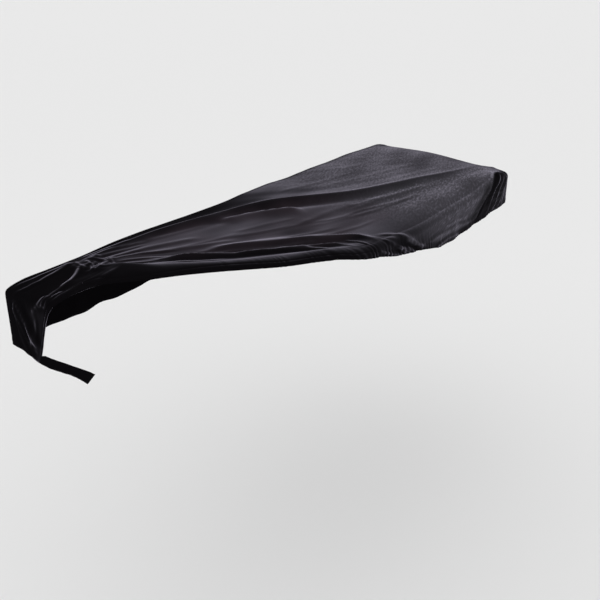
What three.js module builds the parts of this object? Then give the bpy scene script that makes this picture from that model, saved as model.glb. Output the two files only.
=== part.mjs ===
// A stretch-velvet cover for a digital piano, drawn off the front left corner: one hollow cloth shell with an
// elastic hem. Millimetres, +Z up, X along the length, Y from the player's side to the back.
import * as THREE from "three";

// The covered body: its front left bottom corner is (0, 0, 0) here, and the group moves the mount to the origin.
const BODY = { length: 1340, depth: 416, top: 110 };
const MOUNT = { x: 670, y: 340, z: BODY.top };
const CLOTH = { thickness: 2, hemThickness: 3.2, clear: 2 };

// Where the flat top of the cloth ends and its rounded edges begin.
const TOP = { left: 9, right: 1329, front: 13, back: 406 };
const EDGE = { left: 10, right: 13, front: 15, back: 12, cornerTurn: 20, cornerReach: 1.1 };

// The grid: columns along the length, rows in front of the main fold and behind it, rings down the skirt.
const GRID = { columns: 60, frontRows: 10, backRows: 9, rings: 6, arcRings: 3, flapSteps: 7 };
const COLUMN_PACKING = 0.45; // 0 spaces the columns evenly, 1 crowds them at both ends

// Height of the top across the depth, and how its back edge rises and dips along the length.
const ACROSS = {
  columns: ["y", "z"],
  rows: [[8, 84], [24, 88], [47, 91.5], [95, 94], [143, 99.6], [192, 106], [240, 110.5], [300, 112], [410, 112]],
};
const BACK_EDGE = {
  columns: ["x", "z"],
  rows: [
    [0, 112.5], [150, 110.5], [260, 113.8], [420, 113], [565, 112.6], [750, 117], [853, 114.4], [966, 116.2],
    [1060, 115.4], [1155, 117], [1240, 114.4], [1345, 112.4],
  ],
};
const BACK_EDGE_FADE = { from: 240, to: 400 };
const LEFT_BEVEL = { width: 64, drop: 15 };
const SOFT_FRONT = { y: 70, width: 60, drop: 9, rise: [600, 820], fall: [1080, 1240] };

// The crest of the pulled-back edge, then its hem: over the top, down the front wall and down the left wall.
const CREST = {
  columns: ["x", "y", "lift"],
  rows: [
    [9, 306, 3], [20, 301, 5], [35, 294, 8], [61, 288, 12], [101, 287, 15], [138, 294, 18], [158, 277, 18],
    [185, 244, 15], [233, 206, 13], [279, 170, 12], [327, 138, 12], [381, 107, 12], [435, 74, 13], [477, 47, 13],
    [505, 30, 12], [535, 19, 10], [580, 13, 8], [640, 13, 4], [760, 13, 0], [1329, 13, 0],
  ],
};
const CREST_WIDTH = 30;
const FREE_HEM = {
  columns: ["crestX", "x", "y", "z"],
  rows: [
    [9, 1, 294, 99], [20, 10, 289, 106], [35, 26, 285, 110], [61, 50, 283, 113], [101, 86, 275, 113.5],
    [138, 112, 257, 113], [158, 135, 239, 112], [185, 168, 217, 111], [233, 222, 187, 107], [279, 268, 158, 103.5],
    [327, 317, 124, 99.5], [381, 370, 87, 95.5], [435, 425, 54, 93.5], [477, 467, 26, 91.5], [505, 495, 6, 87],
    [535, 528, -1, 79], [580, 577, -2, 68],
  ],
};
const FREE_HEM_END = 580;
const FRONT_HEM = {
  columns: ["x", "z"],
  rows: [
    [580, 68], [600, 62], [666, 45], [772, 25], [850, 7], [890, -2], [930, -5], [977, -8], [1014, -5],
    [1052, -3], [1133, -4], [1176, -6], [1218, -1], [1264, -4], [1310, -1], [1345, 0],
  ],
};
const LEFT_HEM = {
  columns: ["y", "z"],
  rows: [
    [306, 84], [314, 67], [322, 45], [330, 20], [336.8, 0], [341.2, -9], [345.6, -17], [360, -12], [372, -8],
    [384, -3.5], [397, -1], [420, -1],
  ],
};
const HEM_WAVE = { height: 2.2, length: 118, second: 71 };

// The flap that hangs on past the left wall, under the end of the body: its upper and lower edges.
const FLAP = {
  columns: ["t", "yUp", "zUp", "yLow", "zLow", "inset"],
  rows: [
    [0, 336.8, 0, 345.6, -17, 0], [0.2, 311, -1, 323, -21, 1], [0.45, 281, -1, 293, -21.4, 3],
    [0.7, 250, -1, 264, -22, 5], [0.9, 224, -1, 243, -26, 6], [1, 212, -2, 236, -28, 6],
  ],
};
const FLAP_ROOT = { first: 0.7, last: 0.9 }; // the share of the front rows where it leaves the wall's hem

// The long fold that runs across the top: one row of the grid lies along its crest.
const MAIN_FOLD = {
  columns: ["x", "y", "height"],
  rows: [
    [9, 352, 0], [100, 374, 2], [160, 383, 3], [325, 381, 5.5], [389, 371, 7], [430, 362, 8], [474, 350, 9],
    [508, 343, 9], [547, 334, 9.5], [600, 316, 11], [640, 298, 11.5],
    [704, 262, 11], [780, 226, 9], [855, 200, 7], [986, 167, 5], [1081, 146, 4], [1148, 126, 3.5],
    [1274, 96, 1.5], [1329, 90, 0],
  ],
};
const MAIN_FOLD_SHAPE = { far: 34, near: 17, trough: 0.25, troughAt: 34, troughWidth: 16 };

// The other folds, on the unrolled cloth: past the top's edges the same distances run on down the walls.
const FOLDS = {
  columns: ["name", "height", "far", "near", "path"],
  rows: [
    ["roll behind the crest", 7, 20, 13,
      [[321, 249], [364, 207], [454, 157], [519, 122], [559, 88], [590, 55], [600, 28], [597, 0]]],
    ["roll, second ply", 5, 9, 8,
      [[212, 306], [236, 270], [290, 215], [334, 174], [421, 128], [486, 99], [528, 70], [530, 40], [525, 12]]],
    ["roll, third ply", 4, 9, 8, [[200, 288], [235, 255], [291, 222], [357, 165], [409, 128], [460, 103], [505, 55]]],
    ["beside the main fold", 5, 9, 16, [[488, 334], [528, 326], [559, 311], [592, 290], [617, 270], [650, 238], [690, 212]]],
    ["fan, back", 2, 10, 10, [[165, 372], [300, 366], [470, 325]]],
    ["fan, middle", 2, 10, 10, [[165, 362], [230, 348], [300, 322], [380, 290]]],
    ["fan, front", 2, 10, 10, [[170, 350], [240, 318], [330, 265], [420, 215]]],
    ["back left corner", 3, 8, 9, [[14, 382], [30, 379], [60, 386], [100, 394], [141, 398]]],
    ["left crease", 4, 8, 8, [[-14, 326], [8, 312], [29, 306], [55, 313], [91, 338], [134, 376]]],
    ["crumple, back", 4, 10, 10, [[118, 352], [150, 370], [190, 378]]],
    ["crumple, middle", 4.5, 9, 9, [[112, 326], [160, 338], [200, 352]]],
    ["crumple, front", 4, 9, 9, [[100, 306], [140, 316], [180, 318]]],
    ["streak, right", 2, 12, 11, [[703, 151], [833, 146], [966, 124], [1060, 112]]],
    ["streak, middle", 1.2, 14, 12, [[560, 190], [700, 178], [800, 160]]],
    ["corner pleat, first", 4.5, 16, 8,
      [[1012, -76], [1075, -68], [1129, -50], [1171, -22], [1222, -2], [1262, 18], [1305, 42]]],
    ["corner pleat, second", 3.5, 8, 8, [[1172, -80], [1195, -45], [1224, -12], [1262, 2], [1318, 24]]],
    ["corner pleat, third", 3.5, 8, 8, [[1203, -80], [1231, -58], [1260, -25], [1290, -2], [1322, 12]]],
    ["corner pleat, fourth", 3, 8, 8, [[1254, -80], [1271, -64], [1301, -25], [1324, 0]]],
    ["left wall, front", 4, 9, 9, [[-92, 343], [-64, 356], [-34, 376], [-12, 392]]],
    ["left wall, back", 3, 8, 8, [[-108, 364], [-74, 378], [-42, 390], [-16, 398]]],
    ["back wall, left", 4, 16, 16, [[150, 512], [122, 474], [92, 440], [78, 424]]],
    ["back wall, middle", 4, 20, 18, [[560, 515], [640, 470], [690, 425]]],
    ["back wall, right", 5, 16, 16, [[1215, 512], [1255, 470], [1295, 425], [1318, 402]]],
    ["right wall, back", 5, 16, 16, [[1425, 300], [1395, 345], [1350, 385], [1322, 402]]],
    ["right wall, front", 3, 14, 14, [[1420, 120], [1392, 80], [1350, 50], [1330, 30]]],
  ],
};
const FOLD_TAPER = 0.18;

// Gathers that the elastic draws into the full-height walls, and the tuck of their hem under the body.
const GATHER = { depth: 1.8, length: 84, second: 53, reach: 34, cornerFade: 70 };
const TUCK = { depth: 2, height: 26, from: 850, to: 930 };

const clamp = (v, low, high) => Math.min(high, Math.max(low, v));
const ease = (from, to, v) => {
  const u = clamp((v - from) / (to - from), 0, 1);
  return u * u * (3 - 2 * u);
};
const bell = (v, width) => Math.exp(-((v / width) ** 2));

// A smooth curve through a table: the named column at t, which runs down the table's first column.
function read(table, name, t) {
  const c = table.columns.indexOf(name);
  const rows = table.rows;
  const last = rows.length - 1;
  const v = clamp(t, rows[0][0], rows[last][0]);
  let i = 0;
  while (i < last - 1 && v > rows[i + 1][0]) i++;
  const slope = (k) => {
    const a = rows[Math.max(k - 1, 0)];
    const b = rows[Math.min(k + 1, last)];
    return (b[c] - a[c]) / (b[0] - a[0]);
  };
  const h = rows[i + 1][0] - rows[i][0];
  const u = (v - rows[i][0]) / h;
  return (
    (2 * u ** 3 - 3 * u ** 2 + 1) * rows[i][c] +
    (u ** 3 - 2 * u ** 2 + u) * h * slope(i) +
    (3 * u ** 2 - 2 * u ** 3) * rows[i + 1][c] +
    (u ** 3 - u ** 2) * h * slope(i + 1)
  );
}

function crestY(x) {
  return x >= FREE_HEM_END ? TOP.front : Math.max(TOP.front, read(CREST, "y", x));
}

// The height of one fold over the point (a, b) of the unrolled cloth.
function foldHeight([, height, far, near, path], a, b) {
  const steps = path.slice(1).map((end, k) => [path[k], end]);
  const lengths = steps.map(([s, e]) => Math.hypot(e[0] - s[0], e[1] - s[1]));
  const whole = lengths.reduce((sum, l) => sum + l, 0);
  let best = { distance: Infinity, side: 0, share: 0 };
  let before = 0;
  steps.forEach(([s, e], k) => {
    const [dx, dy] = [e[0] - s[0], e[1] - s[1]];
    const u = clamp(((a - s[0]) * dx + (b - s[1]) * dy) / lengths[k] ** 2, 0, 1);
    const [px, py] = [a - s[0] - u * dx, b - s[1] - u * dy];
    const distance = Math.hypot(px, py);
    if (distance < best.distance)
      best = { distance, side: dx * py - dy * px, share: (before + u * lengths[k]) / whole };
    before += lengths[k];
  });
  const width = best.side > 0 ? far : near;
  return height * bell(best.distance, width) * ease(0, FOLD_TAPER, best.share) * ease(1, 1 - FOLD_TAPER, best.share);
}

function mainFoldHeight(a, b) {
  const s = MAIN_FOLD_SHAPE;
  const height = read(MAIN_FOLD, "height", a) * ease(TOP.left - 10, TOP.left + 40, a);
  const q = b - read(MAIN_FOLD, "y", a);
  return q > 0 ? height * bell(q, s.far) : height * (bell(q, s.near) - s.trough * bell(q + s.troughAt, s.troughWidth));
}

// How far the folds stand out of the smooth cloth.
function foldsAt(a, b) {
  return FOLDS.rows.reduce((sum, fold) => sum + foldHeight(fold, a, b), mainFoldHeight(a, b));
}

// The smooth top, with its slope to the front, its bevel on the left and the raised edge behind the free hem.
function topZ(x, y) {
  const across = read(ACROSS, "z", y);
  const behind = (read(BACK_EDGE, "z", x) - BODY.top - CLOTH.clear) * ease(BACK_EDGE_FADE.from, BACK_EDGE_FADE.to, y);
  const q = clamp((LEFT_BEVEL.width - x) / LEFT_BEVEL.width, 0, 1);
  const bevel = LEFT_BEVEL.drop * (1 - Math.sqrt(1 - q * q));
  const soft = ease(...SOFT_FRONT.rise, x) * ease(SOFT_FRONT.fall[1], SOFT_FRONT.fall[0], x);
  const roll = SOFT_FRONT.drop * soft * clamp((SOFT_FRONT.y - y) / SOFT_FRONT.width, 0, 1) ** 2;
  const crest = read(CREST, "lift", x) * bell(y - crestY(x), CREST_WIDTH);
  return across + behind - bevel - roll + crest;
}

// Columns stand closer at both ends, and rows follow the crest, the main fold and the back edge.
function columnX(i) {
  const u = i / GRID.columns;
  const packed = u - (COLUMN_PACKING * Math.sin(2 * Math.PI * u)) / (2 * Math.PI);
  return TOP.left + (TOP.right - TOP.left) * packed;
}
function rowY(x, j) {
  const fold = read(MAIN_FOLD, "y", x);
  const crest = crestY(x);
  if (j <= GRID.frontRows) return crest + ((fold - crest) * j) / GRID.frontRows;
  return fold + ((TOP.back - fold) * (j - GRID.frontRows)) / GRID.backRows;
}

// How near a wall's stop is to a corner: 1 at the corner itself, 0 from cornerTurn on.
const cornerShare = (distance) => clamp(1 - distance / EDGE.cornerTurn, 0, 1);

// The walk round the top's rim: each stop has its place, the way out and the height that its wall drops to.
function rim() {
  const rows = GRID.frontRows + GRID.backRows;
  const stops = [];
  const stop = (i, j, side) => stops.push({ i, j, side });
  for (let i = 0; i < GRID.columns; i++) stop(i, 0, "front");
  for (let j = 0; j < rows; j++) stop(GRID.columns, j, "right");
  for (let i = GRID.columns; i > 0; i--) stop(i, rows, "back");
  for (let j = rows; j > 0; j--) stop(0, j, "left");
  return stops.map(wallOf);
}

// The way out from the rim at (x, y): square to its side, and turned step by step round the three kept corners.
function wayOut(side, x, y) {
  const turn = (distance) => (Math.PI / 4) * cornerShare(distance);
  const square = { front: -Math.PI / 2, right: 0, back: Math.PI / 2, left: Math.PI }[side];
  const swing = {
    front: turn(TOP.right - x),
    right: turn(TOP.back - y) - turn(y - TOP.front),
    back: turn(x - TOP.left) - turn(TOP.right - x),
    left: -turn(TOP.back - y),
  }[side];
  return [Math.cos(square + swing), Math.sin(square + swing)];
}

function wallOf({ i, j, side }) {
  const x = columnX(i);
  const y = rowY(x, j);
  const wave =
    HEM_WAVE.height *
    (Math.sin((2 * Math.PI * (x + y)) / HEM_WAVE.length) + 0.6 * Math.sin((2 * Math.PI * (x - y)) / HEM_WAVE.second));
  const z = topZ(x, y);
  if (side === "front" && x < FREE_HEM_END) {
    const [hx, hy, hz] = ["x", "y", "z"].map((name) => read(FREE_HEM, name, x));
    const reach = Math.hypot(hx - x, hy - y);
    return { i, j, x, y, z, out: [(hx - x) / reach, (hy - y) / reach], reach, bottom: hz, gather: 0, loose: true };
  }
  const bottom = { front: read(FRONT_HEM, "z", x), left: read(LEFT_HEM, "z", y), back: wave, right: wave }[side];
  const [alongX, alongY] = [x - TOP.left, y - TOP.front];
  const [pastX, pastY] = [TOP.right - x, TOP.back - y];
  const nearest = { front: pastX, right: Math.min(alongY, pastY), back: Math.min(alongX, pastX), left: pastY }[side];
  const reach = EDGE[side] * (1 + (EDGE.cornerReach - 1) * cornerShare(nearest));
  const drawn = { front: ease(TUCK.from, TUCK.to, x), left: 0, back: 1, right: 1 }[side];
  const gather = drawn * ease(0, GATHER.cornerFade, nearest);
  return { i, j, x, y, z, out: wayOut(side, x, y), reach, bottom, gather, loose: drawn === 0 };
}

// Point number ring of a wall: round the edge first, then straight down to the hem.
function wallPoint(wall, ring) {
  const drop = wall.z - wall.bottom;
  const round = Math.min(drop, wall.reach);
  const arcLength = (Math.PI / 2) * Math.hypot(wall.reach, round) * Math.SQRT1_2;
  const length = arcLength + drop - round;
  const arcShare = Math.min(arcLength / length, GRID.arcRings / GRID.rings);
  const share =
    ring <= GRID.arcRings
      ? (arcShare * ring) / GRID.arcRings
      : arcShare + ((1 - arcShare) * (ring - GRID.arcRings)) / (GRID.rings - GRID.arcRings);
  const along = share * length;
  const angle = (Math.PI / 2) * Math.min(along / arcLength, 1);
  const down = round * (1 - Math.cos(angle)) + Math.max(along - arcLength, 0);
  const aboveHem = drop - down;
  const steep = Math.atan2(round * Math.sin(angle), wall.reach * Math.cos(angle));
  const [a, b] = [wall.x + wall.out[0] * along, wall.y + wall.out[1] * along];
  const beat = (wall.x - wall.y) * 2 * Math.PI;
  const gather =
    wall.gather * GATHER.depth * Math.exp(-aboveHem / GATHER.reach) *
    (Math.sin(beat / GATHER.length) + 0.6 * Math.sin(beat / GATHER.second + 1));
  const tuck = wall.gather * TUCK.depth * clamp(1 - aboveHem / TUCK.height, 0, 1) ** 2;
  const lift = foldsAt(a, b) * (wall.loose ? ease(0, 30, aboveHem + 12) : 1);
  const outward = wall.reach * Math.sin(angle) + lift * Math.sin(steep) + gather - tuck;
  return [
    wall.x + wall.out[0] * outward,
    wall.y + wall.out[1] * outward,
    wall.z - down + lift * Math.cos(steep),
  ];
}

// The cloth's middle surface: points, four-sided faces and a thickness at each point.
function clothSheet() {
  const points = [];
  const faces = [];
  const thickness = [];
  const add = (p, t = CLOTH.thickness) => {
    thickness.push(t);
    return points.push(p) - 1;
  };
  const rows = GRID.frontRows + GRID.backRows;
  const top = [];
  for (let i = 0; i <= GRID.columns; i++) {
    const x = columnX(i);
    top.push([]);
    for (let j = 0; j <= rows; j++) {
      const y = rowY(x, j);
      top[i].push(add([x, y, topZ(x, y) + foldsAt(x, y)]));
    }
  }
  for (let i = 0; i < GRID.columns; i++)
    for (let j = 0; j < rows; j++) faces.push([top[i][j], top[i + 1][j], top[i + 1][j + 1], top[i][j + 1]]);

  const walls = rim();
  const rings = walls.map((wall) => {
    const column = [top[wall.i][wall.j]];
    for (let ring = 1; ring <= GRID.rings; ring++)
      column.push(add(wallPoint(wall, ring), ring === GRID.rings ? CLOTH.hemThickness : CLOTH.thickness));
    return column;
  });
  rings.forEach((column, k) => {
    const next = rings[(k + 1) % rings.length];
    for (let ring = 0; ring < GRID.rings; ring++)
      faces.push([column[ring + 1], next[ring + 1], next[ring], column[ring]]);
  });

  // The flap grows out of the hem between two rows of the left wall.
  const first = Math.round(GRID.frontRows * FLAP_ROOT.first);
  const last = Math.round(GRID.frontRows * FLAP_ROOT.last);
  let edge = [];
  for (let j = first; j <= last; j++) edge.push(rings[rings.length - j][GRID.rings]);
  const root = edge.map((id) => points[id]);
  for (let m = 1; m <= GRID.flapSteps; m++) {
    const t = m / GRID.flapSteps;
    const at = (name) => read(FLAP, name, t);
    const next = root.map((start, k) => {
      const s = k / (root.length - 1);
      return add(
        [
          start[0] + at("inset") * (0.4 + 0.6 * s),
          at("yUp") + (at("yLow") - at("yUp")) * s,
          at("zUp") + (at("zLow") - at("zUp")) * s,
        ],
        s === 1 ? CLOTH.hemThickness : CLOTH.thickness,
      );
    });
    for (let k = 0; k + 1 < edge.length; k++) faces.push([edge[k], edge[k + 1], next[k + 1], next[k]]);
    edge = next;
  }
  return { points, faces, thickness };
}

// Gives the sheet its thickness: an outer and an inner skin, joined along every open edge.
function thicken({ points, faces, thickness }) {
  const vectors = points.map((p) => new THREE.Vector3(...p));
  const normals = vectors.map(() => new THREE.Vector3());
  const triangles = faces.flatMap(([a, b, c, d]) =>
    vectors[a].distanceTo(vectors[c]) <= vectors[b].distanceTo(vectors[d])
      ? [[a, b, c], [a, c, d]]
      : [[a, b, d], [b, c, d]],
  );
  for (const [a, b, c] of triangles) {
    const normal = new THREE.Vector3()
      .subVectors(vectors[b], vectors[a])
      .cross(new THREE.Vector3().subVectors(vectors[c], vectors[a]));
    for (const id of [a, b, c]) normals[id].add(normal);
  }
  const skin = (sign) =>
    vectors.flatMap((v, id) =>
      v.clone().addScaledVector(normals[id].clone().normalize(), (sign * thickness[id]) / 2).toArray(),
    );
  const inner = points.length;
  const index = [];
  const edges = new Map();
  for (const [a, b, c] of triangles) {
    index.push(a, b, c, inner + a, inner + c, inner + b);
    for (const [s, e] of [[a, b], [b, c], [c, a]]) {
      if (edges.has(`${e} ${s}`)) edges.delete(`${e} ${s}`);
      else edges.set(`${s} ${e}`, [s, e]);
    }
  }
  for (const [s, e] of edges.values()) index.push(s, inner + s, inner + e, s, inner + e, e);
  const geometry = new THREE.BufferGeometry();
  geometry.setAttribute("position", new THREE.Float32BufferAttribute([...skin(1), ...skin(-1)], 3));
  geometry.setIndex(index);
  geometry.computeVertexNormals();
  return geometry;
}

const velvet = new THREE.MeshStandardMaterial({ color: 0x17151a, roughness: 0.85, metalness: 0 });
const cover = new THREE.Mesh(thicken(clothSheet()), velvet);
cover.name = "cover";

const pianoCover = new THREE.Group();
pianoCover.add(cover);
pianoCover.position.set(-MOUNT.x, -MOUNT.y, -MOUNT.z);
export default pianoCover;
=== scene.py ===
# A stretch-velvet dust cover for a digital piano, drawn off the front left corner.
# Metres, +Z up; the cloth is laid out in millimetres from the covered body's front left bottom corner.
import math

import bpy
import numpy as np
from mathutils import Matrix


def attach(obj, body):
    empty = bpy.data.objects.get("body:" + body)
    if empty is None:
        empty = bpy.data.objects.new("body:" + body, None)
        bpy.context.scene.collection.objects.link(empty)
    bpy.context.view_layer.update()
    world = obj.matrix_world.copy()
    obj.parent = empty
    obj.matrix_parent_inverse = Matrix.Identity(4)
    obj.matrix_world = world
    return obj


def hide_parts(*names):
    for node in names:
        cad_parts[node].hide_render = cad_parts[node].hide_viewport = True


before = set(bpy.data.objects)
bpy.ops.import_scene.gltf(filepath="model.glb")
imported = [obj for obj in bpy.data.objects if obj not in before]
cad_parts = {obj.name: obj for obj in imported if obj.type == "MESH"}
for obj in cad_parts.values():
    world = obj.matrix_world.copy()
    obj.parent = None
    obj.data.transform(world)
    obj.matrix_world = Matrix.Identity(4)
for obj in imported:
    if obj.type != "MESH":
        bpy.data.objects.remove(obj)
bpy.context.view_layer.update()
bodyFrame = {"mount": (670.0, 340.0, 110.0), "top": 110.0}


def inRow(points):  # millimetres from the body's corner to metres from the mount
    return (np.asarray(points, float) - bodyFrame["mount"]) / 1000


# ---- camera
camera = {
    "place": (-1.4389, -1.0301, 0.5086),
    "azimuth": -56.87,
    "down": 23.21,
    "lens": 47.476,
    "sensor": 36,
    "clip": (0.01, 300),
}


def makeCamera():
    data = bpy.data.cameras.new("camera")
    data.lens, data.sensor_width = camera["lens"], camera["sensor"]
    data.clip_start, data.clip_end = camera["clip"]
    eye = bpy.data.objects.new("camera", data)
    eye.location = camera["place"]
    eye.rotation_euler = (math.radians(90 - camera["down"]), 0, math.radians(camera["azimuth"]))
    bpy.context.scene.collection.objects.link(eye)
    bpy.context.scene.camera = eye


makeCamera()
print("camera set")


# ---- the cloth's main form
def table(columns, *rows):  # named columns; the first one runs along the curve
    values = np.array(rows, float)
    return {name: values[:, k] for k, name in enumerate(columns.split())}


def read(curve, name, t):  # a smooth curve through the table
    run, values = next(iter(curve.values())), curve[name]
    last = len(run) - 1
    t = np.clip(t, run[0], run[-1])
    i = np.clip(np.searchsorted(run, t) - 1, 0, last - 1)
    before, after = np.maximum(np.arange(last + 1) - 1, 0), np.minimum(np.arange(last + 1) + 1, last)
    slope = (values[after] - values[before]) / (run[after] - run[before])
    h = run[i + 1] - run[i]
    u = (t - run[i]) / h
    return (
        (2 * u**3 - 3 * u**2 + 1) * values[i]
        + (u**3 - 2 * u**2 + u) * h * slope[i]
        + (3 * u**2 - 2 * u**3) * values[i + 1]
        + (u**3 - u**2) * h * slope[i + 1]
    )


def ease(start, end, v):
    u = np.clip((v - start) / (end - start), 0, 1)
    return u * u * (3 - 2 * u)


def bell(v, width):
    return np.exp(-((v / width) ** 2))


top = {"left": 9, "right": 1329, "front": 13, "back": 406}
edge = {"left": 10, "right": 13, "front": 15, "back": 12, "cornerTurn": 20, "cornerReach": 1.1}
cloth = {
    "thickness": 1.8,
    "hemThickness": 3.0,
    "hemEdge": 1,
    "columns": 440,
    "rowsToFold": 68,
    "rowsBehindFold": 36,
    "rings": 26,
    "arcRings": 8,  # the rings that go round the edge, above the straight wall
    "flapSteps": 44,
    "rowPacking": (0.55, 0.7),  # how closely the rows before and behind the main fold start
    "ringPacking": 1.2,
    "curveSteps": 2000,
}
# how closely the columns stand along the length
columnDensity = table(
    "x density",
    (9, 1.6), (60, 1.4), (400, 1.2), (560, 1.1), (680, 0.9), (1120, 0.85), (1200, 1.0), (1300, 1.2),
    (1329, 2),
)

across = table(
    "y z",
    (8, 84), (24, 88), (47, 91.5), (95, 94), (143, 99.6), (192, 106), (240, 110.5), (300, 112),
    (410, 112),
)
backEdge = table(
    "x z",
    (0, 112.5), (150, 110.5), (260, 113.8), (420, 113), (565, 112.6), (750, 117), (853, 114.4),
    (966, 116.2), (1060, 115.4), (1155, 117), (1240, 114.4), (1345, 112.4),
)
backEdgeFade = (240, 400)
leftBevel = {"width": 64, "drop": 15}
softFront = {"y": 70, "width": 60, "drop": 9, "rise": (600, 820), "fall": (1080, 1240)}
crest = table(
    "x y lift",
    (9, 306, 3), (20, 301, 5), (35, 294, 8), (61, 288, 12), (101, 287, 15), (138, 294, 18),
    (158, 277, 18), (185, 244, 15), (233, 206, 13), (279, 170, 12), (327, 138, 12), (381, 107, 12),
    (435, 74, 13), (477, 47, 13), (505, 30, 12), (535, 19, 10), (580, 13, 8), (640, 13, 4),
    (760, 13, 0), (1329, 13, 0),
)
crestWidth = 30
freeHem = table(
    "crestX x y z",
    (9, 1, 294, 99), (20, 10, 289, 106), (35, 26, 285, 110), (61, 50, 283, 113),
    (101, 86, 275, 113.5), (138, 112, 257, 113), (158, 135, 239, 112), (185, 168, 217, 111),
    (233, 222, 187, 107), (279, 268, 158, 103.5), (327, 317, 124, 99.5), (381, 370, 87, 95.5),
    (435, 425, 54, 93.5), (477, 467, 26, 91.5), (505, 495, 6, 87), (535, 528, -1, 79),
    (580, 577, -2, 68),
)
freeHemEnd = 580
frontHem = table(
    "x z",
    (580, 68), (600, 62), (666, 45), (772, 25), (850, 7), (890, -2), (930, -5), (977, -8),
    (1014, -5), (1052, -3), (1133, -4), (1176, -6), (1218, -1), (1264, -4), (1310, -1), (1345, 0),
)
leftHem = table(
    "y z",
    (306, 84), (314, 67), (322, 45), (330, 20), (336.8, 0), (341.2, -9), (345.6, -17), (360, -12),
    (372, -8), (384, -3.5), (397, -1), (420, -1),
)
hemWave = {"height": 2.2, "length": 118, "second": 71, "secondShare": 0.6}
flap = table(
    "t yUp zUp yLow zLow inset",
    (0, 336.8, 0, 345.6, -17, 0), (0.2, 311, -1, 323, -21, 1), (0.45, 281, -1, 293, -21.4, 3),
    (0.7, 250, -1, 264, -22, 5), (0.9, 224, -1, 243, -26, 6), (1, 212, -2, 236, -28, 6),
)
# the rows of the left wall where the flap leaves the hem, and the share of its inset at its upper edge
flapShape = {"rootRows": (54, 62), "upperInset": 0.4, "rimRun": 140}
mainFold = table(
    "x y height near",
    (9, 352, 0, 17), (100, 374, 2, 14), (160, 383, 3, 12), (325, 381, 5.5, 10), (389, 371, 7, 12),
    (430, 362, 8, 14), (474, 350, 9, 14), (508, 343, 9, 12), (547, 334, 9.5, 11),
    (600, 316, 11, 13), (640, 298, 11.5, 15), (704, 262, 11, 16), (780, 226, 9, 16),
    (855, 200, 7, 16), (986, 167, 5, 17), (1081, 146, 4, 17), (1148, 126, 3.5, 17),
    (1274, 96, 1.5, 17), (1329, 90, 0, 17),
)
mainFoldShape = {"start": (-1, 49), "far": 34, "trough": 0.25, "troughAt": 2, "troughWidth": 16}

# name: height, width on its far side, width on its near side, path on the unrolled cloth
folds = {
    "roll behind the crest": (7, 20, 13, [
        (321, 249), (364, 207), (454, 157), (519, 122), (559, 88), (590, 55), (600, 28), (597, 0),
    ]),
    "roll, second ply": (5, 9, 8, [
        (212, 306), (236, 270), (290, 215), (334, 174), (421, 128), (486, 99), (528, 70), (530, 40),
        (525, 12),
    ]),
    "roll, third ply": (4, 9, 8, [
        (200, 288), (235, 255), (291, 222), (357, 165), (409, 128), (460, 103), (505, 55),
    ]),
    "beside the main fold": (6, 12, 22, [
        (470, 330), (500, 316), (535, 303), (569, 288), (598, 270), (629, 252), (662, 232),
    ]),
    "fan, back": (1.5, 10, 10, [(165, 372), (300, 366), (470, 325)]),
    "fan, middle": (1.5, 10, 10, [(165, 362), (230, 348), (300, 322), (380, 290)]),
    "fan, front": (1.5, 10, 10, [(170, 350), (240, 318), (330, 265), (420, 215)]),
    "back left corner": (2, 7, 20, [(14, 382), (30, 379), (60, 386), (100, 394), (141, 398)]),
    "left crease": (3, 9, 9, [(-14, 326), (8, 312), (29, 306), (55, 313), (91, 338), (134, 376)]),
    "crumple, back": (3, 10, 10, [(118, 352), (150, 370), (190, 378)]),
    "crumple, middle": (3.5, 9, 9, [(112, 326), (160, 338), (200, 352)]),
    "crumple, front": (3, 9, 9, [(100, 306), (140, 316), (180, 318)]),
    "streak, right": (2, 12, 11, [(703, 151), (833, 146), (966, 124), (1060, 112)]),
    "streak, middle": (1.2, 14, 12, [(560, 190), (700, 178), (800, 160)]),
    "corner pleat, first": (4.5, 14, 8, [
        (1012, -76), (1075, -68), (1129, -50), (1171, -22), (1222, -2), (1262, 18), (1305, 42),
    ]),
    "corner pleat, second": (3.5, 8, 8, [
        (1172, -80), (1195, -45), (1224, -12), (1262, 2), (1318, 24),
    ]),
    "corner pleat, third": (3.5, 8, 8, [
        (1203, -80), (1231, -58), (1260, -25), (1290, -2), (1322, 12),
    ]),
    "corner pleat, fourth": (3, 8, 8, [(1254, -80), (1271, -64), (1301, -25), (1324, 0)]),
    "left wall, front": (4, 9, 9, [(-92, 343), (-64, 356), (-34, 376), (-12, 392)]),
    "left wall, back": (3, 8, 8, [(-108, 364), (-74, 378), (-42, 390), (-16, 398)]),
    "back wall, left": (4, 16, 16, [(150, 512), (122, 474), (92, 440), (78, 424)]),
    "back wall, middle": (4, 20, 18, [(560, 515), (640, 470), (690, 425)]),
    "back wall, right": (4, 14, 14, [(1215, 512), (1250, 478), (1276, 452), (1292, 436)]),
    "right wall, back": (5, 16, 16, [(1425, 300), (1395, 345), (1350, 385), (1322, 402)]),
    "right wall, front": (3, 14, 14, [(1420, 120), (1392, 80), (1350, 50), (1330, 30)]),
}
foldTaper = 0.18
crispCrest = {"share": 0.3, "width": 0.36, "least": 6}
freeFade = (-12, 18)  # how high above the free hem the main folds begin
gathers = {
    "depth": 0.8,
    "length": 84,
    "second": 53,
    "secondShare": 0.6,
    "secondPhase": 1,
    "reach": 34,
    "cornerFade": 70,
}
tuck = {"depth": 2, "height": 26, "from": 850, "to": 930}


def crestY(x):
    return np.where(x >= freeHemEnd, top["front"], np.maximum(top["front"], read(crest, "y", x)))


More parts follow.
